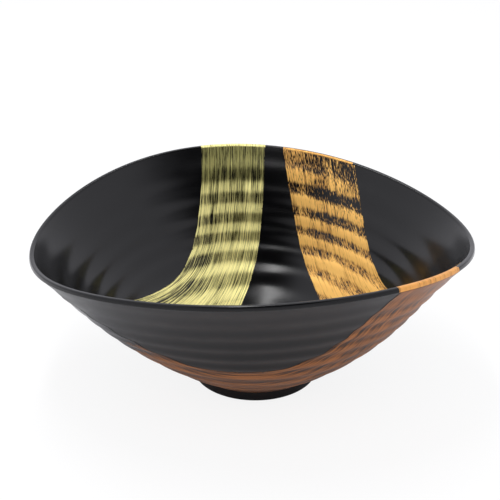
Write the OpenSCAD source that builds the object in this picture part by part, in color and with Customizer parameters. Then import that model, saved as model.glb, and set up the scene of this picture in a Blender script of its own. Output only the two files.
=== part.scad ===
// Lacquered serving bowl: a round foot, a flaring turned wall and a lip whose
// two ends dip, with three brushed metallic strokes over black lacquer.
// Millimetres, +Z up. The origin is on the table under the middle of the rim.

/* [Rim] */
// Mean radius of the rim
rim_r = 145.5; // [130:0.5:160]
// How far the rim is from round, as a share of its radius
rim_oval = 0.036; // [0:0.002:0.06]
// Direction of the rim's long axis, in degrees from +X
oval_turn = -16; // [-45:1:45]
// Mean height of the rim above the table
rim_h = 114; // [105:0.5:125]
// How far the two ends dip and the two sides rise
rim_dip = 10; // [0:0.5:14]
// Direction of the dip, in degrees from +X
dip_turn = 8; // [-20:1:20]
// How far the rim leans, higher on one side
rim_lean = 4; // [0:0.5:6]
// Direction of the high side of the lean
lean_turn = -22; // [-90:1:90]
// Height of the slow threefold sway in the rim
rim_sway = 1; // [0:0.1:2]
// Direction of the sway
sway_turn = -20; // [-60:1:60]
// How far the rim is flattened between its high and low places
rim_flat = 1; // [0:0.1:2]

/* [Lip] */
// Width of the lip's top
lip_w = 3.8; // [3.4:0.1:4.2]
// How far the lip stands out past the wall
lip_out = 1.2; // [0.6:0.1:1.6]
// Height of the lip's outer face down to the wall
lip_h = 3.5; // [3.3:0.1:4.2]
// Round on the lip's outer edge
lip_round = 0.9; // [0.4:0.1:1.1]
// Round on the lip's inner edge
lip_ease = 0.6; // [0.3:0.1:0.7]

/* [Wall] */
// Thickness of the finished wall, lacquer included
wall_t = 3.7; // [3.2:0.1:4.2]
// Slope of the wall where it leaves the foot
foot_slope = 34; // [30:1:40]
// Slope of the wall where it meets the lip
rim_slope = 49; // [44:1:54]
// How far the wall keeps to its lower slope
foot_pull = 83; // [70:1:90]
// How far the wall keeps to its upper slope
rim_pull = 65; // [55:1:70]

/* [Foot] */
// Radius of the foot where the wall meets it
foot_r = 45; // [42:0.5:50]
// Height of the foot
foot_h = 7.6; // [6:0.1:8.4]
// Radius of the foot on the table
sole_r = 43.6; // [41:0.1:44.6]
// Radius of the recess under the foot
recess_r = 38; // [34:0.5:39]
// Depth of the recess under the foot
recess_h = 3.6; // [2:0.1:3.9]
// How far the foot's middle is from the rim's middle
foot_x = 3.7; // [0:0.1:6]

/* [Floor] */
// Radius of the flat floor inside
floor_r = 30; // [24:1:34]
// Height of the floor above the table
floor_z = 9.5; // [9.4:0.1:12]
// How softly the floor turns up into the wall
floor_pull = 13; // [8:1:16]

/* [Turned rings] */
// Turned rings between the foot and the lip, inside
rings_in = 7.5; // [5.5:1:9.5]
// Turned rings between the foot and the lip, outside
rings_out = 9; // [6:1:11]
// Height of the rings inside, from middle to crest
ring_in_h = 0.45; // [0:0.05:0.6]
// Height of the rings outside, from middle to crest
ring_out_h = 0.3; // [0:0.05:0.5]

/* [Coats] */
// Thickness of the black lacquer
coat_t = 0.4; // [0.3:0.05:0.6]
// Thickness of the metallic paint
paint_t = 0.15; // [0.1:0.05:0.2]
// Where the gold stroke crosses the lip, in degrees from +X
gold_lip = [85, 106]; // [60:1:120]
// Where the ochre stroke crosses the lip
ochre_lip = [55, 79]; // [40:1:84]
// Where the copper stroke crosses the lip
copper_lip = [306, 329]; // [290:1:350]

/* [Detail] */
// Straight steps around the bowl
columns = 60; // [36:4:64]

/* [Hidden] */
$fn = 120;

// Colours
wood = "#7a5238";
black = "#1b1b1d";
gold = "#cdc274";
ochre = "#d9983f";
copper = "#9c6238";

// The wall's rows run from the foot, 0, to the lip, 1. There are two for each
// turned ring, on its crest and in its valley. The inside wall starts on a crest,
// where the floor's curve ends, and rows below 0 lie on that curve.
outer_rows = [for (i = [0 : 2*rings_out]) i/(2*rings_out)];
floor_end = 0.75/rings_in;
floor_steps = 3;
inner_rows = concat([for (i = [0 : floor_steps - 1]) i/floor_steps - 1],
                    [for (i = [0 : 2*rings_in - 3]) floor_end + i/(2*rings_in)],
                    [1]);

// The lacquer's inner edge on the foot's top, where the sloping coat is cut level
ring_top_r = foot_r - coat_t/sin(foot_slope);

// Plan edges of the strokes, as shares of the rim's radius: each edge is one
// cubic curve through its first and last point, drawn towards the other two.
// Each stroke starts outside the rim, so that it runs right over the edge.
gold_edges = [[[-0.275, 1.045], [-0.16, 0.275], [-0.76, 0.275], [-0.715, -0.275]],
              [[0.075, 1.045], [0.11, 0.41], [-0.14, 0.445], [-0.38, -0.535]]];
ochre_edges = [[[0.16, 1.045], [0.225, 0.475], [0.495, 0.36], [0.62, -0.93]],
               [[0.535, 0.92], [0.605, 0.38], [0.63, 0.19], [0.975, -0.605]]];
copper_edges = [[[0.69, -0.93], [0.4, -0.43], [0.18, -0.915], [-0.825, -0.41]],
                [[1.02, -0.5], [0.64, -0.12], [-0.2, -0.33], [-0.86, -0.06]]];
edge_steps = 14;
stroke_top = rim_h + 2*rim_dip + rim_lean;

// Point on a cubic curve, and the direction of the curve there
function bezier(p, t) =
    pow(1 - t, 3)*p[0] + 3*t*pow(1 - t, 2)*p[1] + 3*t*t*(1 - t)*p[2] + pow(t, 3)*p[3];
function bezier_dir(p, t) =
    3*pow(1 - t, 2)*(p[1] - p[0]) + 6*t*(1 - t)*(p[2] - p[1]) + 3*t*t*(p[3] - p[2]);

// Unit vector a quarter turn left of v: up and inwards, for a curve that climbs outwards
function left_of(v) = [-v.y, v.x]/norm(v);

// Top outer edge of the lip in direction a
function rim_point(a) =
    let (r = rim_r*(1 + rim_oval*cos(2*(a - oval_turn))))
    [r*cos(a), r*sin(a),
     rim_h + rim_lean*cos(a - lean_turn) - rim_dip*cos(2*(a - dip_turn))
     + rim_sway*cos(3*(a - sway_turn)) - rim_flat*cos(4*a)];

// Every upright section passes through the foot's axis. Its points are
// [distance from that axis, height], and place() puts one in the bowl.
function section_turn(a) = let (p = rim_point(a)) atan2(p.y, p.x - foot_x);
function lip_edge(a) = let (p = rim_point(a)) [norm([p.x - foot_x, p.y]), p.z];
function place(a, q) =
    let (t = section_turn(a)) [foot_x + q.x*cos(t), q.x*sin(t), q.y];

// Outside of the wall, from the foot's top to under the lip
function wall_curve(a) =
    let (start = [foot_r, foot_h], end = lip_edge(a) - [lip_out, lip_h])
    [start, start + foot_pull*[cos(foot_slope), sin(foot_slope)],
     end - rim_pull*[cos(rim_slope), sin(rim_slope)], end];

// Turned rings: a wave along the wall that dies out at the foot and the lip
function ripple(s, rings, first, height) =
    height*cos(360*rings*(s - first))*(1 - pow(2*s - 1, 6));

// A point of the wall, d in from its plain outside
function wall_point(a, s, d) =
    let (c = wall_curve(a)) bezier(c, s) + d*left_of(bezier_dir(c, s));

// A point d under the outside's surface
function outer_point(a, s, d) =
    s == 0 ? [foot_r - d/sin(foot_slope), foot_h]
           : wall_point(a, s, d - ripple(s, rings_out, 0, ring_out_h));

// A point d under the inside's surface, on the wall or on the floor's curve
function inner_point(a, s, d) =
    s < 0 ? floor_point(a, s + 1, d)
          : wall_point(a, s, wall_t - d + ripple(s, rings_in, floor_end, ring_in_h));
function floor_point(a, u, d) =
    let (end = inner_point(a, floor_end, 0),
         dir = bezier_dir(wall_curve(a), floor_end),
         start = [floor_r, floor_z],
         c = [start, start + [floor_pull, 0], end - floor_pull*dir/norm(dir), end])
    bezier(c, u) - d*left_of(bezier_dir(c, u));

// The lip's outline from the inside wall over its top and down its outer face,
// grown by g. The last point is where its underside meets the outside wall.
function lip_path(a, g) =
    let (edge = lip_edge(a),
         in_dir = [-sin(rim_slope), cos(rim_slope)],
         under = edge - [lip_out, lip_h])
    [under + (wall_t + g)*in_dir,
     edge + [-lip_w - 0.9*g, 0.4*g - lip_ease],
     edge + [lip_ease - lip_w - 0.4*g, g],
     edge + [0.4*g - lip_round, g],
     edge + [g, 0.4*g - lip_round],
     edge + [g, 0.8 - lip_h],
     under];

// One ring of points for each row, with a section function of direction and row
function rings_of(rows, section) =
    [for (s = rows) [for (i = [0 : columns - 1]) let (a = 360*i/columns) place(a, section(a, s))]];
function outer_rings(d) = rings_of(outer_rows, function(a, s) outer_point(a, s, d));
function inner_rings(d) = rings_of(inner_rows, function(a, s) inner_point(a, s, d));
function lip_rings(g, first, last) =
    rings_of([for (i = [first : last]) i], function(a, i) lip_path(a, g)[i]);

// Solid between two stacks of rings. Both run from the foot or floor to the rim,
// and the face lies up and inwards of the back. Triangles on the two stacks are
// cut the same way, so that neighbouring coats touch all over. A capped solid
// closes over the axis at its first rings, and an open one joins them.
module swept(face, back, capped = false) {
    rows = len(face) + len(back);
    reversed = [for (i = [len(back) - 1 : -1 : 0]) back[i]];
    points = [for (ring = concat(face, reversed)) each ring];
    walls = [for (r = [0 : capped ? rows - 2 : rows - 1], i = [0 : columns - 1])
        let (low = r*columns,
             high = ((r + 1) % rows)*columns,
             j = (i + 1) % columns)
        each r < len(face)
            ? [[low + i, low + j, high + i], [low + j, high + j, high + i]]
            : [[low + i, high + j, high + i], [low + i, low + j, high + j]]];
    caps = capped
        ? [[for (i = [columns - 1 : -1 : 0]) i],
           [for (i = [0 : columns - 1]) (rows - 1)*columns + i]]
        : [];
    polyhedron(points, concat(walls, caps), convexity = 8);
}

// Plan outline of a stroke from its two edges
function stroke_outline(edges) =
    rim_r*concat([for (i = [0 : edge_steps]) bezier(edges[0], i/edge_steps)],
                 [for (i = [edge_steps : -1 : 0]) bezier(edges[1], i/edge_steps)]);

// Plan outline of the part of the rim between two directions
function lip_outline(ends) =
    let (inside = 0.8*rim_r, outside = 1.3*rim_r)
    [for (a = ends) inside*[cos(a), sin(a)],
     for (a = [ends[1], ends[0]]) outside*[cos(a), sin(a)]];

// Leaves of a skin only what lies over or under a plan outline
module brushed(outline) {
    intersection() {
        children();
        linear_extrude(stroke_top) polygon(outline);
    }
}

// Skins of paint: over the inside, over the outside and over the lip
module inner_skin() { swept(inner_rings(-paint_t), inner_rings(0), capped = true); }
module outer_skin() { swept(outer_rings(0), outer_rings(-paint_t)); }
module lip_skin() { swept(lip_rings(paint_t, 0, 5), lip_rings(0, 0, 5)); }

// Moulded wood-resin body, hidden under the lacquer, with its boss in the foot
module bowl_core() {
    color(wood) {
        swept(inner_rings(coat_t), outer_rings(coat_t), capped = true);
        translate([foot_x, 0, recess_h + coat_t])
            cylinder(r = recess_r + coat_t, h = foot_h - recess_h);
    }
}

// Thick lip that stands out past the wall all round
module rim_lip() {
    color(black) swept(lip_rings(0, 0, 3), [for (i = [6 : -1 : 4]) lip_rings(0, i, i)[0]]);
}

// Turned ring that the bowl stands on, under its lacquer
module foot_ring() {
    color(wood) translate([foot_x, 0, 0]) rotate_extrude()
        polygon([[recess_r + coat_t, coat_t], [sole_r - 2*coat_t, coat_t],
                 [sole_r - coat_t, 2*coat_t], [ring_top_r, foot_h], [recess_r + coat_t, foot_h]]);
}

// Black lacquer over the inside of the wall and the floor
module inner_lacquer() {
    color(black) swept(inner_rings(0), inner_rings(coat_t), capped = true);
}

// Black lacquer over the outside of the wall, down to the foot
module outer_lacquer() {
    color(black) swept(outer_rings(coat_t), outer_rings(0));
}

// Black lacquer over the foot's side, its sole and the wall of its recess
module foot_lacquer() {
    color(black) translate([foot_x, 0, 0]) rotate_extrude()
        polygon([[ring_top_r, foot_h], [foot_r, foot_h], [sole_r, 2*coat_t],
                 [sole_r - 2*coat_t, 0], [recess_r + coat_t, 0], [recess_r, coat_t],
                 [recess_r, recess_h + coat_t], [recess_r + coat_t, recess_h + coat_t],
                 [recess_r + coat_t, coat_t], [sole_r - 2*coat_t, coat_t],
                 [sole_r - coat_t, 2*coat_t]]);
}

// Black lacquer over the flat of the recess, under the body
module recess_lacquer() {
    color(black) translate([foot_x, 0, recess_h]) cylinder(r = recess_r, h = coat_t);
}

// Pale gold stroke, from the lip down across the floor
module gold_stroke() { color(gold) brushed(stroke_outline(gold_edges)) inner_skin(); }
module gold_lip_stroke() { color(gold) brushed(lip_outline(gold_lip)) lip_skin(); }

// Ochre stroke beside it, from the lip across the inside to the lip again
module ochre_stroke() { color(ochre) brushed(stroke_outline(ochre_edges)) inner_skin(); }
module ochre_lip_stroke() { color(ochre) brushed(lip_outline(ochre_lip)) lip_skin(); }

// Copper stroke, where the ochre one comes over the lip and sweeps round under the bowl
module copper_stroke() { color(copper) brushed(stroke_outline(copper_edges)) outer_skin(); }
module copper_lip_stroke() { color(copper) brushed(lip_outline(copper_lip)) lip_skin(); }

bowl_core();
rim_lip();
foot_ring();
inner_lacquer();
outer_lacquer();
foot_lacquer();
recess_lacquer();
gold_stroke();
gold_lip_stroke();
ochre_stroke();
ochre_lip_stroke();
copper_stroke();
copper_lip_stroke();
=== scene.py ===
"""Looks of the lacquered serving bowl: smooth turned walls in satin black lacquer,
a rounded lip and foot, and three dry-brushed metallic strokes."""

import math

import bmesh
import bpy
import numpy as np
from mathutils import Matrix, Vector


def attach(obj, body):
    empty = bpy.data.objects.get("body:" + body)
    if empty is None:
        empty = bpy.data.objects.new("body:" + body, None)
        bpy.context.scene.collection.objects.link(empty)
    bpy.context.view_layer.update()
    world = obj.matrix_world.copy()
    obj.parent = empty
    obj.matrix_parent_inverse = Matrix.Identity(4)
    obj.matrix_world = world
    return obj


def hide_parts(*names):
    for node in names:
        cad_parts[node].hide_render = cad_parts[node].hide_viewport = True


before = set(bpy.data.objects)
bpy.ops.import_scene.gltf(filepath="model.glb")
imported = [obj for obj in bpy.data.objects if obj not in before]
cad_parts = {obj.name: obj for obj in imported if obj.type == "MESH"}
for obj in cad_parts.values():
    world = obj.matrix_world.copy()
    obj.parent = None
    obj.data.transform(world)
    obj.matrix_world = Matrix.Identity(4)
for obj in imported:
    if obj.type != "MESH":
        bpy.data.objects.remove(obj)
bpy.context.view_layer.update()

# ---------------------------------------------------------------- design values
# Millimetres and degrees, the same as in the CAD model. A direction is counted from the
# bowl's right, turning towards its back.
MM = 0.001

# The rim in plan: its mean radius, how much of that it is out of round, and its long axis
RIM_R, RIM_OVAL, OVAL_TURN = 145.5, 0.036, -16
# The rim's height: its mean, the dip of two opposite ends, the lean to one side, and two
# smaller waves
RIM_H, RIM_DIP, DIP_TURN = 114, 10, 8
RIM_LEAN, LEAN_TURN = 4, -22
RIM_SWAY, SWAY_TURN, RIM_FLAT = 1, -20, 1
# The lip: its width, how far it stands out past the wall, and its height
LIP_W, LIP_OUT, LIP_H = 3.8, 1.2, 3.5
# The wall: its thickness, its slopes at the foot and the rim, and how far each one is held
WALL_T, FOOT_SLOPE, RIM_SLOPE, FOOT_PULL, RIM_PULL = 3.7, 34, 49, 83, 65
# The foot and the recess under it, and how far right of the middle it stands
FOOT_R, FOOT_H, SOLE_R, RECESS_R, RECESS_H, FOOT_X = 45, 7.6, 43.6, 38, 3.6, 3.7
# The flat floor, and how far its curve up to the wall stays low
FLOOR_R, FLOOR_Z, FLOOR_PULL = 30, 9.5, 13
# The turned rings: how many there are, and how far they stand out
RINGS_IN, RINGS_OUT, RING_IN_H, RING_OUT_H = 7.5, 9, 0.45, 0.3
COAT_T = 0.4  # the lacquer's thickness
FLOOR_END = 0.75 / RINGS_IN  # where on the wall, from foot to lip, the floor's curve ends
FLOOR_SHARE = 0.12  # share of the inside's height parameter that this curve takes

# Plan edges of the strokes, two curves each, as shares of the rim's radius
GOLD_EDGES = (((-0.275, 1.045), (-0.16, 0.275), (-0.76, 0.275), (-0.715, -0.275)),
              ((0.075, 1.045), (0.11, 0.41), (-0.14, 0.445), (-0.38, -0.535)))
OCHRE_EDGES = (((0.16, 1.045), (0.225, 0.475), (0.495, 0.36), (0.62, -0.93)),
               ((0.535, 0.92), (0.605, 0.38), (0.63, 0.19), (0.975, -0.605)))
COPPER_EDGES = (((0.69, -0.93), (0.4, -0.43), (0.18, -0.915), (-0.825, -0.41)),
                ((1.02, -0.5), (0.64, -0.12), (-0.2, -0.33), (-0.86, -0.06)))
# Rim directions between which each one crosses the lip
GOLD_LIP, OCHRE_LIP, COPPER_LIP = (85, 106), (55, 79), (306, 329)

PAINT_LIFT, PAINT_T = 0.06, 0.1  # how far paint stands over the lacquer, and its thickness

# Fineness of the meshes: points round each ring, and rings on each side of a coat or body
COLUMNS = 256
INSIDE_STEPS, OUTSIDE_STEPS, BODY_STEPS, HIDDEN_STEPS = 176, 170, 90, 45
AXIS_R = 1  # radius of the cap that closes a solid over the foot's axis
FLOOR_RADII = (AXIS_R, 12, 22)  # rings on the flat floor
SHARP_ANGLE = 40  # edges sharper than this stay sharp


# ---------------------------------------------------------------- the bowl's surface
def cosd(a):
    return np.cos(np.radians(a))


def sind(a):
    return np.sin(np.radians(a))


def bezier(p, t):
    """Point on a cubic curve with control points p[0] to p[3]."""
    return ((1 - t)**3 * p[0] + 3 * t * (1 - t)**2 * p[1]
            + 3 * t * t * (1 - t) * p[2] + t**3 * p[3])


def bezier_dir(p, t):
    """Direction of the curve there."""
    return (3 * (1 - t)**2 * (p[1] - p[0]) + 6 * t * (1 - t) * (p[2] - p[1])
            + 3 * t * t * (p[3] - p[2]))


def left_of(v):
    """Unit vector a quarter turn left of v."""
    n = np.stack([-v[..., 1], v[..., 0]], -1)
    return n / np.linalg.norm(n, axis=-1, keepdims=True)


def pair(x, y):
    """Two numbers or arrays as one array of [distance from the foot's axis, height]."""
    x, y = np.broadcast_arrays(x, y)
    return np.stack([x, y], -1).astype(float)


def rim_point(a):
    """Top outer edge of the lip in direction a: x, y and height."""
    r = RIM_R * (1 + RIM_OVAL * cosd(2 * (a - OVAL_TURN)))
    z = (RIM_H + RIM_LEAN * cosd(a - LEAN_TURN) - RIM_DIP * cosd(2 * (a - DIP_TURN))
         + RIM_SWAY * cosd(3 * (a - SWAY_TURN)) - RIM_FLAT * cosd(4 * a))
    return r * cosd(a), r * sind(a), z


def section_turn(a):
    """Direction, seen from the foot's axis, of the upright section through rim direction a."""
    x, y, _ = rim_point(a)
    return np.degrees(np.arctan2(y, x - FOOT_X))


def lip_edge(a):
    x, y, z = rim_point(a)
    return pair(np.hypot(x - FOOT_X, y), z)


def place(a, q):
    """Points of the section through rim direction a, put in the bowl, in millimetres."""
    turn = section_turn(a)
    return np.stack([FOOT_X + q[..., 0] * cosd(turn), q[..., 0] * sind(turn), q[..., 1]], -1)


def wall_curve(a):
    start = pair(FOOT_R + 0 * a, FOOT_H)
    end = lip_edge(a) - pair(LIP_OUT, LIP_H)
    return (start, start + FOOT_PULL * pair(cosd(FOOT_SLOPE), sind(FOOT_SLOPE)),
            end - RIM_PULL * pair(cosd(RIM_SLOPE), sind(RIM_SLOPE)), end)


def ripple(s, rings, first=0.0):
    """Turned rings, from -1 in a valley to 1 on a crest, dying out at the foot and the lip."""
    return cosd(360 * rings * (s - first)) * (1 - (2 * s - 1)**6)


def outside(a, s, d=0.0):
    """Section points d under the outside's surface, s from 0 at the foot to 1 under the lip."""
    curve, t = wall_curve(a), np.asarray(s)[..., None]
    depth = (d - RING_OUT_H * ripple(s, RINGS_OUT))[..., None]
    return bezier(curve, t) + depth * left_of(bezier_dir(curve, t))


def inside_wall(a, s, d):
    curve, t = wall_curve(a), np.asarray(s)[..., None]
    depth = (WALL_T - d + RING_IN_H * ripple(s, RINGS_IN, FLOOR_END))[..., None]
    return bezier(curve, t) + depth * left_of(bezier_dir(curve, t))


def inside(a, g, d=0.0):
    """Section points d under the inside's surface, g from 0 at the flat floor's edge to 1."""
    a, g = np.broadcast_arrays(np.asarray(a, float), np.asarray(g, float))
    s = wall_share(g)
    end = inside_wall(a, FLOOR_END + 0 * a, 0.0)
    climb = bezier_dir(wall_curve(a), FLOOR_END)
    climb = climb / np.linalg.norm(climb, axis=-1, keepdims=True)
    start = pair(FLOOR_R + 0 * a, FLOOR_Z)
    curve = (start, start + pair(FLOOR_PULL, 0), end - FLOOR_PULL * climb, end)
    u = np.clip(g / FLOOR_SHARE, 0, 1)[..., None]
    floor = bezier(curve, u) - d * left_of(bezier_dir(curve, u))
    return np.where((g < FLOOR_SHARE)[..., None], floor, inside_wall(a, s, d))


def wall_share(g):
    """Where on the wall, from foot to lip, the inside's parameter g is."""
    return FLOOR_END + (1 - FLOOR_END) * np.clip((g - FLOOR_SHARE) / (1 - FLOOR_SHARE), 0, 1)


def rim_direction(turn):
    """Rim direction of the section that lies in direction turn from the foot's axis."""
    a = np.linspace(-200, 200, 1601)
    turns = a + (section_turn(a) - a + 180) % 360 - 180
    return np.interp(turn, turns, a)


def drop(x, y, surface):
    """Rim direction and height parameter where plan points meet a surface. The parameter
    goes below 0 inside the surface's first ring and above 1 outside the rim."""
    a = rim_direction(np.degrees(np.arctan2(y, x - FOOT_X)))
    reach = np.hypot(x - FOOT_X, y)
    low, high = np.zeros_like(reach), np.ones_like(reach)
    for _ in range(24):
        mid = (low + high) / 2
        under = surface(a, mid)[..., 0] < reach
        low, high = np.where(under, mid, low), np.where(under, high, mid)
    first, last = surface(a, 0 * a)[..., 0], surface(a, 0 * a + 1)[..., 0]
    share = np.where(reach < first, reach / first - 1, (low + high) / 2)
    return a, np.where(reach > last, 1 + (reach - last) / RIM_R, share)


# ---------------------------------------------------------------- meshes
def finish_mesh(name, points, faces):
    """An object from points in millimetres, smooth apart from its sharp edges."""
    mesh = bpy.data.meshes.new(name)
    mesh.from_pydata((np.asarray(points) * MM).tolist(), [], [list(map(int, f)) for f in faces])
    mesh.validate()
    bm = bmesh.new()
    bm.from_mesh(mesh)
    bmesh.ops.recalc_face_normals(bm, faces=bm.faces)
    bm.to_mesh(mesh)
    bm.free()
    mesh.polygons.foreach_set("use_smooth", [True] * len(mesh.polygons))
    mesh.set_sharp_from_angle(angle=math.radians(SHARP_ANGLE))
    obj = bpy.data.objects.new(name, mesh)
    bpy.context.scene.collection.objects.link(obj)
    return obj


def ring_faces(rings, columns, join):
    """Quads between rings of points. join also joins the last ring to the first."""
    faces = []
    for r in range(rings if join else rings - 1):
        low, high = r * columns, ((r + 1) % rings) * columns
        faces += [(low + i, low + (i + 1) % columns, high + (i + 1) % columns, high + i)
                  for i in range(columns)]
    return faces


def turned(name, sections, capped=False):
    """A closed solid from a list of rings of points. A capped one closes over the axis."""
    columns = len(sections[0])
    faces = ring_faces(len(sections), columns, not capped)
    if capped:
        faces += [range(columns), range((len(sections) - 1) * columns, len(sections) * columns)]
    return finish_mesh(name, np.concatenate(sections), faces)


def around():
    """The directions of a ring's points."""
    return np.arange(COLUMNS) * 360 / COLUMNS


def surface_rings(surface, shares, d):
    """Rings d under a surface, one for each of its height parameters."""
    a = around()
    return [place(a, surface(a, share + 0 * a, d)) for share in shares]


def floor_rings(radii, z):
    """Flat rings round the foot's axis."""
    a = around()
    turn = section_turn(a)
    return [np.stack([FOOT_X + r * cosd(turn), r * sind(turn), z + 0 * a], -1) for r in radii]


def make_body():
    """The wood-resin body under the coats, down to its boss inside the foot."""
    shares = np.linspace(0, 1, BODY_STEPS)
    boss = RECESS_R + COAT_T
    face = floor_rings(FLOOR_RADII, FLOOR_Z - COAT_T) + surface_rings(inside, shares, COAT_T)
    back = surface_rings(outside, shares[::-1], COAT_T)
    under = floor_rings([boss], FOOT_H) + floor_rings([boss, AXIS_R], RECESS_H + COAT_T)
    return turned("wood_body", face + back + under, capped=True)


def make_inner_coat():
    """The lacquer on the inside wall and the floor."""
    face = floor_rings(FLOOR_RADII, FLOOR_Z) + surface_rings(
        inside, np.linspace(0, 1, INSIDE_STEPS), 0.0)
    back = floor_rings(FLOOR_RADII, FLOOR_Z - COAT_T) + surface_rings(
        inside, np.linspace(0, 1, HIDDEN_STEPS), COAT_T)
    return turned("inner_coat", face + back[::-1], capped=True)


def make_outer_coat():
    """The lacquer on the outside wall, from the foot to the lip."""
    face = surface_rings(outside, np.linspace(0, 1, OUTSIDE_STEPS), 0.0)
    back = surface_rings(outside, np.linspace(0, 1, HIDDEN_STEPS), COAT_T)
    return turned("outer_coat", face + back[::-1])


def rounded(corners, radii, steps=6):
    """A path through corners, each inner one rounded to its radius."""
    corners = [np.array(c, float) for c in corners]
    path = [corners[0]]
    for before, corner, after, radius in zip(corners, corners[1:], corners[2:], radii):
        back = (before - corner) / np.linalg.norm(before - corner)
        ahead = (after - corner) / np.linalg.norm(after - corner)
        half = math.acos(float(np.clip(back @ ahead, -1, 1))) / 2
        reach = radius / math.tan(half)
        start, end = corner + back * reach, corner + ahead * reach
        for i in range(steps + 1):
            t = i / steps
            path.append((1 - t)**2 * start + 2 * t * (1 - t) * corner + t * t * end)
    path.append(corners[-1])
    return np.array(path)


# The lip's outline, from the inside wall over the top, down the outer face and back to
# the outside wall, measured from the lip's top outer edge. The outer face leans in.
LIP_INSIDE = (-LIP_OUT - WALL_T * sind(RIM_SLOPE), -LIP_H + WALL_T * cosd(RIM_SLOPE))
LIP_PATH = rounded([LIP_INSIDE, (-LIP_W + 0.3, -0.5), (-LIP_W + 0.85, 0), (-0.5, 0), (0, -2.7),
                    (-1.0, -3.0), (-LIP_OUT, -LIP_H)],
                   [0.5, 1.6, 1.2, 0.45, 0.15])
# Last point of that outline under each stroke: gold goes down the outer face, ochre only
# round the inner edge, and copper right under the lip
GOLD_LIP_END, OCHRE_LIP_END, COPPER_LIP_END = 24, 14, 30


def make_lip():
    a = around()
    return turned("lip", [place(a, lip_edge(a) + p) for p in LIP_PATH])


def make_foot():
    """The foot's lacquer, one closed turned solid: its hidden back, from the axis out, and
    then its side, sole and recess, with their edges rounded."""
    back = [(AXIS_R, RECESS_H + COAT_T), (RECESS_R + COAT_T, RECESS_H + COAT_T),
            (RECESS_R + 0.8, 1.0), (SOLE_R - 1.4, 1.0)]
    face = rounded([(FOOT_R - 0.7, FOOT_H), (FOOT_R, FOOT_H), (SOLE_R + 0.2, 0),
                    (RECESS_R + 0.2, 0), (RECESS_R, RECESS_H), (AXIS_R, RECESS_H)],
                   [0.05, 1.1, 1.0, 1.2], 7)
    turn = around()
    return turned("foot", [np.stack([FOOT_X + q[0] * cosd(turn), q[0] * sind(turn),
                                     q[1] + 0 * turn], -1) for q in back + list(face)],
                  capped=True)


# ---------------------------------------------------------------- paint strokes
UV_MM = 100  # millimetres to one unit of a stroke's UV map


def add_floats(mesh, **layers):
    """One number for each point, for a material to read."""
    for name, values in layers.items():
        mesh.attributes.new(name, "FLOAT", "POINT").data.foreach_set(
            "value", np.asarray(values, float).ravel())


def add_stroke_uv(mesh, across, along):
    """A UV map that holds the place in the stroke, across and along, in UV_MM."""
    uv = mesh.uv_layers.new(name="stroke")
    verts = np.empty(len(mesh.loops), int)
    mesh.loops.foreach_get("vertex_index", verts)
    pairs = np.stack([across.ravel()[verts], along.ravel()[verts]], -1) / UV_MM
    uv.data.foreach_set("uv", pairs.ravel())


def paint_sheet(name, points, across, along, keep=None, **layers):
    """A thin closed skin of paint from a grid of points, with its place in the stroke in
    millimetres and what else its material reads."""
    rows, columns = points.shape[:2]
    keep = np.ones((rows, columns), bool) if keep is None else keep
    corners = [(r * columns + c, keep[r:r + 2, c:c + 2].any())
               for r in range(rows - 1) for c in range(columns - 1)]
    faces = [(i, i + 1, i + columns + 1, i + columns) for i, kept in corners if kept]
    mesh = bpy.data.meshes.new(name)
    mesh.from_pydata((points.reshape(-1, 3) * MM).tolist(), [], faces)
    add_floats(mesh, **layers)
    add_stroke_uv(mesh, across, along)
    mesh.polygons.foreach_set("use_smooth", [True] * len(mesh.polygons))
    bm = bmesh.new()
    bm.from_mesh(mesh)
    bmesh.ops.delete(bm, geom=[v for v in bm.verts if not v.link_faces], context="VERTS")
    for edge in bm.edges:
        edge.smooth = not edge.is_boundary
    bm.to_mesh(mesh)
    bm.free()
    obj = bpy.data.objects.new(name, mesh)
    bpy.context.scene.collection.objects.link(obj)
    solid = obj.modifiers.new("thickness", "SOLIDIFY")
    solid.thickness = PAINT_T * MM
    solid.offset = -1
    return obj


def stroke_grid(edges, surface, width_steps, length_steps):
    """Plan points of a stroke, rows along it and columns across, from where each line of it
    comes over the rim to where it ends or goes over the rim again."""
    fine = np.linspace(0, 1, 400)
    columns = []
    for f in np.linspace(0, 1, width_steps):
        line = (1 - f) * bezier(edges[0], fine[:, None]) + f * bezier(edges[1], fine[:, None])
        _, share = drop(line[:, 0], line[:, 1], surface)
        on = np.nonzero(share <= 1)[0]
        begin, end = fine[max(on[0] - 1, 0)], fine[min(on[-1] + 1, len(fine) - 1)]
        t = np.linspace(begin, end, length_steps)[:, None]
        columns.append((1 - f) * bezier(edges[0], t) + f * bezier(edges[1], t))
    return np.stack(columns, 1)


def on_inside(plan, band_and_highlight_lead):
    """Points of the inside over plan points, how far up a ring each one is, and that all
    of them lie on the bowl. The rings' bands of paint and of tone are put
    band_and_highlight_lead, as a share of the wall from foot to lip, higher than their crests;
    for the gold this sets its bright bands on the flank that catches the overhead light, a
    painted highlight."""
    a, share = drop(plan[..., 0], plan[..., 1], inside)
    points = place(a, inside(a, np.clip(share, 0, 1), -PAINT_LIFT))
    flat = np.concatenate([plan, np.full(plan.shape[:-1] + (1,), FLOOR_Z + PAINT_LIFT)], -1)
    points = np.where((share < 0)[..., None], flat, points)
    crest = np.where(share > FLOOR_SHARE,
                     ripple(wall_share(share), RINGS_IN, FLOOR_END + band_and_highlight_lead), 0.6)
    return points, crest, np.ones(share.shape, bool)


def on_outside(plan, band_and_highlight_lead):
    """The same for the outside, where the points under the foot don't lie on the wall."""
    a, share = drop(plan[..., 0], plan[..., 1], outside)
    on_wall = np.clip(share, 0, 1)
    crest = ripple(on_wall, RINGS_OUT, band_and_highlight_lead)
    return place(a, outside(a, on_wall, -PAINT_LIFT)), crest, share >= 0


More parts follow.
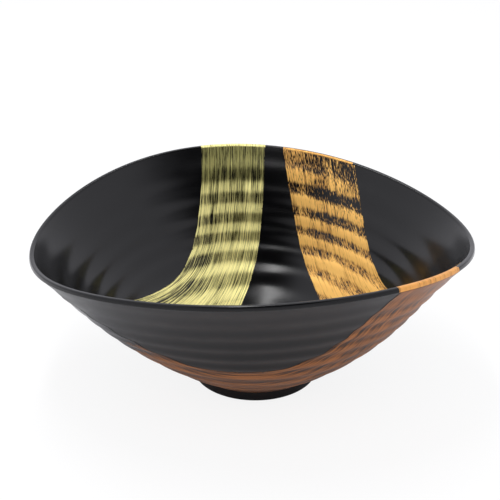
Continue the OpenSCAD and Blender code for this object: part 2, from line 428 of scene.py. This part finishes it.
def make_stroke(name, edges, surface, width_steps, length_steps, dries_at=1.0, band_and_highlight_lead=0.0):
    """Paint between two plan edges, laid on a surface of the bowl. dries_at is the share of
    the length where the brush starts to run dry, for a stroke that ends in the bowl."""
    plan = stroke_grid(np.array(edges) * RIM_R, surface, width_steps, length_steps)
    points, crest, keep = (on_inside if surface is inside else on_outside)(plan, band_and_highlight_lead)
    side = np.linspace(0, 1, width_steps)
    ahead = np.linalg.norm(np.diff(points, axis=0), axis=2).mean(1)
    along = np.concatenate([[0], np.cumsum(ahead)])[:, None] + 0 * side
    width = np.linalg.norm(np.diff(points, axis=1), axis=2).sum(1)[:, None]
    across = side * np.median(width) + 0 * along
    wet = 1 - np.clip((along / along.max() - dries_at) / max(1 - dries_at, 0.01), 0, 1)
    return paint_sheet(name, points, across, along, keep, crest=crest, wet=wet,
                       lip=0 * across, side=side + 0 * along,
                       edge=np.minimum(side, 1 - side) * width)


def make_lip_stroke(name, ends, last, steps=40):
    """Paint over the lip between two rim directions, up to point last of its outline."""
    path = LIP_PATH[:last + 1]
    path = path + PAINT_LIFT * left_of(np.gradient(path, axis=0))
    a = np.linspace(ends[0], ends[1], steps)
    points = np.stack([place(a, lip_edge(a) + p) for p in path], 1)
    across = np.radians(a - a[0])[:, None] * RIM_R + np.zeros((1, len(path)))
    down = np.concatenate([[0], np.cumsum(np.linalg.norm(np.diff(path, axis=0), axis=1))])
    one = np.ones_like(across)
    return paint_sheet(name, points, across, down + 0 * across, crest=one, wet=one, lip=one,
                       side=across / across.max(), edge=np.minimum(across, across.max() - across))


# ---------------------------------------------------------------- materials
class Nodes:
    """A short way to build a material's nodes."""

    def __init__(self, name):
        self.material = bpy.data.materials.new(name)
        self.material.use_nodes = True
        self.tree = self.material.node_tree
        self.shader = self.tree.nodes["Principled BSDF"]

    def node(self, kind, inputs=(), **settings):
        made = self.tree.nodes.new(kind)
        for key, value in settings.items():
            setattr(made, key, value)
        for key, value in dict(inputs).items():
            self.put(made.inputs[key], value)
        return made

    def put(self, socket, value):
        if isinstance(value, bpy.types.NodeSocket):
            self.tree.links.new(value, socket)
        else:
            socket.default_value = value

    def math(self, operation, a, b=0.0):
        return self.node("ShaderNodeMath", {0: a, 1: b}, operation=operation).outputs[0]

    def sum(self, *terms):
        """Adds up numbers, sockets and (socket, factor) pairs."""
        total = 0.0
        for term in terms:
            if isinstance(term, tuple):
                term = self.math("MULTIPLY", *term)
            total = self.math("ADD", total, term)
        return total

    def noise(self, vector, scale, detail):
        return self.node("ShaderNodeTexNoise", {"Vector": vector, "Scale": scale,
                                                "Detail": detail}).outputs[0]

    def bump(self, height, strength, distance):
        """A normal for the shader: height stands out by distance millimetres."""
        return self.node("ShaderNodeBump", {"Height": height, "Strength": strength,
                                            "Distance": distance * MM}).outputs[0]

    def spread(self, value, low, high, to_low=0.0, to_high=1.0):
        """Goes smoothly from to_low to to_high as value goes from low to high."""
        made = self.node("ShaderNodeMapRange", {0: value, 1: low, 2: high, 3: to_low, 4: to_high})
        made.interpolation_type = "SMOOTHSTEP"
        return made.outputs[0]

    def mix(self, share, low, high):
        made = self.node("ShaderNodeMix", data_type="RGBA")
        self.put(made.inputs["Factor"], share)
        self.put(made.inputs[6], low)
        self.put(made.inputs[7], high)
        return made.outputs[2]

    def attribute(self, name):
        return self.node("ShaderNodeAttribute", attribute_name=name).outputs["Fac"]

    def use(self, socket, value):
        self.put(self.shader.inputs[socket], value)


BLACK, BLACK_WORN = (0.0012, 0.0012, 0.0015, 1), (0.002, 0.002, 0.0025, 1)
BLACK_ROUGH, LACQUER_IOR = 0.24, 1.45
PAINT_ROUGH, PAINT_METAL = 0.4, 0.45
WOOD_DARK, WOOD_LIGHT = (0.16, 0.07, 0.03, 1), (0.25, 0.12, 0.055, 1)


def lacquer_material(name, rough, ior=LACQUER_IOR):
    """Satin black lacquer: a faint unevenness in its gloss and its surface."""
    n = Nodes(name)
    where = n.node("ShaderNodeTexCoord").outputs["Object"]
    cloud = n.noise(where, 35.0, 3.0)
    grain = n.noise(where, 1400.0, 2.0)
    n.use("Base Color", n.mix(cloud, BLACK, BLACK_WORN))
    n.use("Roughness", n.spread(cloud, 0.3, 0.7, rough - 0.03, rough + 0.03))
    n.use("IOR", ior)
    n.use("Normal", n.bump(grain, 0.06, 0.02))
    return n.material


def paint_material(name, dull, bright, seed, cover, later=0.0, right_first=0.0,
                   right_later=0.0, crest=0.0, lines=0.3, line_w=0.5, dashes=0.3, patch=0.3,
                   painted_light_at_start=0.0, painted_light_on_lip=0.0):
    """Metallic powder brushed dry over black lacquer. cover is how much of the lacquer the
    stroke hides at its start and later how much more it hides by its middle; right_first
    and right_later are how much more at its right edge. crest, lines and dashes are how
    strongly it is broken by the turned rings, by the brush's hairs, line_w millimetres
    wide, and by short misses, and patch how much it varies from place to place.
    painted_light_at_start and painted_light_on_lip are painted light and shade: how much
    brighter, or darker where below 0, its tone is drawn where it starts and on the lip."""
    n = Nodes(name)
    uv = n.node("ShaderNodeUVMap", uv_map="stroke").outputs[0]
    spot = n.node("ShaderNodeSeparateXYZ", {0: uv})
    across = n.math("MULTIPLY", spot.outputs[0], UV_MM)
    along = n.math("MULTIPLY", spot.outputs[1], UV_MM)

    def streaks(width, length, detail=1.0):
        """Noise about 0, stretched to width by length millimetres."""
        streaks.count += 1
        vector = n.node("ShaderNodeCombineXYZ", {
            0: n.math("DIVIDE", across, width), 1: n.math("DIVIDE", along, length),
            2: seed + 5.3 * streaks.count}).outputs[0]
        return n.math("SUBTRACT", n.noise(vector, 1.0, detail), 0.5)
    streaks.count = 0

    # What the brush does by itself
    hairs = n.sum((streaks(line_w, 60 * line_w), 2.6), (streaks(3.2 * line_w, 70.0), 1.4))
    misses = streaks(0.5, 4.2)
    patches = streaks(11.0, 24.0, 2.0)
    # What the bowl's rings do to it, less so by the lip
    rings = n.math("MULTIPLY", n.spread(n.attribute("crest"), -0.7, 0.7, -1.0, 1.0),
                   n.spread(along, 4.0, 30.0, 0.4, 1.0))
    # Its torn edges, and how it changes from its start to its middle and to its right
    ragged = n.sum(n.attribute("edge"), (streaks(1.6, 2.4, 2.0), 4.0))
    far = n.spread(along, 10.0, 110.0)
    right = n.math("MULTIPLY", n.attribute("side"),
                   n.sum(right_first, (far, right_later - right_first)))
    # All of it together: how much paint there is, and its tone, which holds painted light and
    # shade too
    level = n.sum(cover, (far, later), right, (rings, crest), (hairs, lines),
                  (misses, dashes), (patches, patch), (n.attribute("lip"), 0.6),
                  n.spread(n.attribute("wet"), 0.0, 0.9, -1.5, 0.0),
                  n.spread(ragged, -1.0, -0.1, -1.5, 0.0))
    paint = n.spread(level, 0.3, 0.7)
    # Painted light and shade in the tone: a painted highlight on the rings' crests, and painted
    # light and shade where the stroke starts and on the lip
    tone_and_painted_light = n.sum((hairs, 0.5), (patches, patch), (level, 0.4), (rings, 0.6 * crest),
                  n.spread(along, 5.0, 45.0, painted_light_at_start, 0.0),
                  (n.attribute("lip"), painted_light_on_lip), -0.1)
    colour = n.mix(n.spread(tone_and_painted_light, -0.15, 0.55), dull, bright)
    n.use("Base Color", n.mix(paint, BLACK, colour))
    n.use("Metallic", n.math("MULTIPLY", paint, PAINT_METAL))
    n.use("IOR", LACQUER_IOR)
    n.use("Roughness", n.spread(paint, 0.0, 1.0, BLACK_ROUGH, PAINT_ROUGH))
    n.use("Normal", n.bump(paint, 0.3, 0.04))
    return n.material


def wood_material():
    """Bare wood resin, hidden under the coats."""
    n = Nodes("wood_resin")
    where = n.node("ShaderNodeTexCoord").outputs["Object"]
    n.use("Base Color", n.mix(n.noise(where, 220.0, 4.0), WOOD_DARK, WOOD_LIGHT))
    n.use("Roughness", 0.75)
    return n.material


# ---------------------------------------------------------------- studio
# Metres and degrees. The camera looks at AIM.
AIM = Vector((0.0, 0.0, 0.0937))
ELEVATION, DISTANCE, LENS = 24.6, 0.75, 78.7
FLOOR_REACH = 6.0
FLOOR_COLOUR, FLOOR_GLOW = (0.9, 0.9, 0.905, 1), 1.03
SHADOW_LIFT = 0.84  # how much of the floor the camera sees as an even glow
SKY_COLOUR = (0.94, 0.94, 1.0, 1)
DARK_TOWARD = Vector((0.0, -0.7, 0.7))  # where the studio is dark
DARK_NARROW = 1.65  # how much taller than wide the dark place is
DARK_EDGE, DARK_CORE = 0.6, 0.84  # cosines from DARK_TOWARD where it starts and is full


def make_floor():
    """A pale floor whose shadows the camera sees lightened."""
    mesh = bpy.data.meshes.new("studio_floor")
    r = FLOOR_REACH
    mesh.from_pydata([(-r, -r, 0), (r, -r, 0), (r, r, 0), (-r, r, 0)], [], [(0, 1, 2, 3)])
    floor = bpy.data.objects.new("studio_floor", mesh)
    bpy.context.scene.collection.objects.link(floor)
    n = Nodes("pale_floor")
    n.use("Base Color", FLOOR_COLOUR)
    n.use("Roughness", 0.9)
    glow = n.node("ShaderNodeEmission", {"Color": (1, 1, 1, 1), "Strength": FLOOR_GLOW})
    seen = n.node("ShaderNodeLightPath").outputs["Is Camera Ray"]
    both = n.node("ShaderNodeMixShader", {0: n.math("MULTIPLY", seen, SHADOW_LIFT),
                                          1: n.shader.outputs[0], 2: glow.outputs[0]})
    n.tree.links.new(both.outputs[0], n.tree.nodes["Material Output"].inputs["Surface"])
    mesh.materials.append(n.material)


def make_world():
    """White all round, with a dark place above and behind the camera, taller than wide."""
    world = bpy.data.worlds.new("studio")
    world.use_nodes = True
    bpy.context.scene.world = world
    tree = world.node_tree
    direction = tree.nodes.new("ShaderNodeTexCoord").outputs["Generated"]
    narrowed = tree.nodes.new("ShaderNodeVectorMath")
    narrowed.operation = "MULTIPLY"
    tree.links.new(direction, narrowed.inputs[0])
    narrowed.inputs[1].default_value = (DARK_NARROW, 1, 1)
    unit = tree.nodes.new("ShaderNodeVectorMath")
    unit.operation = "NORMALIZE"
    tree.links.new(narrowed.outputs[0], unit.inputs[0])
    toward = tree.nodes.new("ShaderNodeVectorMath")
    toward.operation = "DOT_PRODUCT"
    tree.links.new(unit.outputs[0], toward.inputs[0])
    toward.inputs[1].default_value = DARK_TOWARD.normalized()
    span = tree.nodes.new("ShaderNodeMapRange")
    span.interpolation_type = "SMOOTHSTEP"
    for socket, value in zip(span.inputs[1:5], (DARK_EDGE, DARK_CORE, 1.0, 0.0)):
        socket.default_value = value
    tree.links.new(toward.outputs["Value"], span.inputs[0])
    tree.links.new(span.outputs[0], tree.nodes["Background"].inputs["Strength"])
    tree.nodes["Background"].inputs["Color"].default_value = SKY_COLOUR


def add_light(name, place_at, aim, size, watts):
    """A soft rectangular light."""
    light = bpy.data.lights.new(name, "AREA")
    light.shape = "RECTANGLE"
    light.size, light.size_y = size
    light.energy = watts
    obj = bpy.data.objects.new(name, light)
    obj.location = place_at
    obj.rotation_euler = (Vector(aim) - Vector(place_at)).to_track_quat("-Z", "Y").to_euler()
    bpy.context.scene.collection.objects.link(obj)
    return obj


def make_camera():
    e = math.radians(ELEVATION)
    camera = bpy.data.objects.new("camera", bpy.data.cameras.new("camera"))
    camera.location = AIM + DISTANCE * Vector((0, -math.cos(e), math.sin(e)))
    camera.rotation_euler = (math.pi / 2 - e, 0, 0)
    camera.data.lens = LENS
    camera.data.sensor_width = 36
    camera.data.clip_start = 0.01
    bpy.context.scene.collection.objects.link(camera)
    bpy.context.scene.camera = camera


# ---------------------------------------------------------------- the scene
make_camera()
make_floor()
make_world()
add_light("overhead", (-0.2, 0.28, 1.4), aim=(-0.2, 0.28, 0), size=(0.13, 1.25), watts=8.4)
fill = add_light("fill", (0, -1.0, 1.3), aim=(0, 0, 0.05), size=(1.0, 1.0), watts=7.0)
fill.visible_glossy = False  # it lights the paint and shows in no reflection
bpy.context.scene.view_settings.view_transform = "Standard"

# The lacquer is a little duller on the outside and glossier on the lip.
wood = wood_material()
black = lacquer_material("satin_black_lacquer", BLACK_ROUGH)
black_outside = lacquer_material("satin_black_lacquer_outside", BLACK_ROUGH + 0.12, 1.46)
black_lip = lacquer_material("satin_black_lacquer_lip", BLACK_ROUGH - 0.04, 1.38)
# The gold's start is drawn darker, painted shade where the upper wall is steep; the gold's lip is
# drawn brighter and the ochre's darker, painted light and shade
gold = paint_material("gold_powder", (0.3, 0.28, 0.09, 1), (1.0, 0.91, 0.37, 1), seed=1.0,
                      cover=0.6, right_first=-0.05, right_later=0.3, crest=0.15, lines=0.62,
                      line_w=0.36, dashes=0.5, patch=0.5, painted_light_at_start=-0.65, painted_light_on_lip=0.6)
ochre = paint_material("ochre_powder", (0.54, 0.27, 0.06, 1), (1.0, 0.58, 0.15, 1), seed=41.0,
                       cover=0.6, later=0.3, right_first=-0.4, right_later=0.05, crest=0.27,
                       line_w=0.5, dashes=2.0, patch=0.7, painted_light_at_start=-0.15, painted_light_on_lip=-0.3)
copper = paint_material("copper_powder", (0.05, 0.018, 0.007, 1), (0.45, 0.165, 0.043, 1),
                        seed=77.0, cover=0.76, crest=0.12, lines=0.35, line_w=0.6,
                        painted_light_at_start=0.05)
# A brighter copy of the copper paint for the lip: painted light where the lip faces up into the
# light
copper_lip = paint_material("copper_powder_lip_painted_light", (0.3, 0.12, 0.03, 1), (0.85, 0.4, 0.1, 1),
                            seed=77.0, cover=0.8, line_w=0.7, dashes=0.6)

# Each piece, its material, its slot and the CAD nodes it replaces
pieces = [
    (make_body(), wood, "wood_resin", ["bowl_core"]),
    (make_inner_coat(), black, "black_lacquer", ["inner_lacquer"]),
    (make_outer_coat(), black_outside, "black_lacquer", ["outer_lacquer"]),
    (make_lip(), black_lip, "black_lacquer", ["rim_lip"]),
    (make_foot(), black, "black_lacquer", ["foot_lacquer", "recess_lacquer"]),
    # The gold's bands are raised onto the lit flank of the rings, a painted highlight
    (make_stroke("gold_brushwork", GOLD_EDGES, inside, 40, 200, dries_at=0.6, band_and_highlight_lead=0.035),
     gold, "gold_paint", ["gold_stroke"]),
    (make_stroke("ochre_brushwork", OCHRE_EDGES, inside, 40, 220, band_and_highlight_lead=-0.012),
     ochre, "ochre_paint", ["ochre_stroke"]),
    (make_stroke("copper_brushwork", COPPER_EDGES, outside, 48, 220, dries_at=0.7),
     copper, "copper_paint", ["copper_stroke"]),
    (make_lip_stroke("gold_on_lip", GOLD_LIP, GOLD_LIP_END),
     gold, "gold_paint", ["gold_lip_stroke"]),
    (make_lip_stroke("ochre_on_lip", OCHRE_LIP, OCHRE_LIP_END),
     ochre, "ochre_paint", ["ochre_lip_stroke"]),
    (make_lip_stroke("copper_on_lip", COPPER_LIP, COPPER_LIP_END),
     copper_lip, "copper_paint", ["copper_lip_stroke"]),
]
for piece, material, slot_name, nodes in pieces:
    piece.data.materials.append(material)
    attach(piece, "root")
    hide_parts(*nodes)

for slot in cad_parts["foot_ring"].material_slots:
    slot.material = wood
